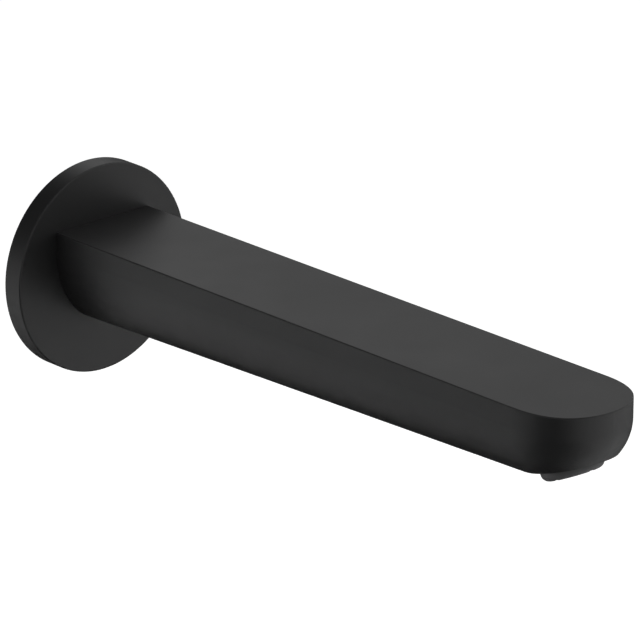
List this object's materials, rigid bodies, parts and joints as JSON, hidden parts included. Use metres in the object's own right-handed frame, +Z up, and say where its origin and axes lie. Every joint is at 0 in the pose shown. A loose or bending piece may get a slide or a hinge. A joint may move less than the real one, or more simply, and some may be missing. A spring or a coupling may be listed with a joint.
{
  "type": "bath spout",
  "caption": "Wall-mounted bath spout with a flat top, rounded underside and rounded tip, a round wall flange, a threaded connection nipple and an aerator in a facet under the tip.",
  "frame": {"origin": "on the connection axis, in the wall plane that the flange's back meets", "axes": "+Y into the wall along the connection axis, so the spout reaches along -Y; +Z up; +X to the right for someone who faces the wall"},
  "size_m": [0.068, 0.245, 0.068],
  "materials": {
    "coated_casting": "satin black coating",
    "turned_brass": "turned",
    "screw_steel": "bright",
    "housing_plastic": "satin",
    "cartridge_plastic": "satin",
    "seal_rubber": "matte",
    "gasket_rubber": "matte foam"
  },
  "bodies": {
    "root": {"spout_body": "coated_casting", "wall_flange": "coated_casting", "flange_gasket": "gasket_rubber", "flange_o_ring": "seal_rubber", "connection_nipple": "turned_brass", "nipple_o_ring_rear": "seal_rubber", "nipple_o_ring_front": "seal_rubber", "grub_screw": "screw_steel", "aerator_housing": "housing_plastic", "aerator_seal": "seal_rubber", "aerator_strainer": "cartridge_plastic", "regulator_body": "cartridge_plastic", "regulator_o_ring": "seal_rubber", "jet_plate": "cartridge_plastic", "mixing_screen_upper": "cartridge_plastic", "mixing_screen_lower": "cartridge_plastic", "outlet_grid": "cartridge_plastic"}
  },
  "joints": []
}
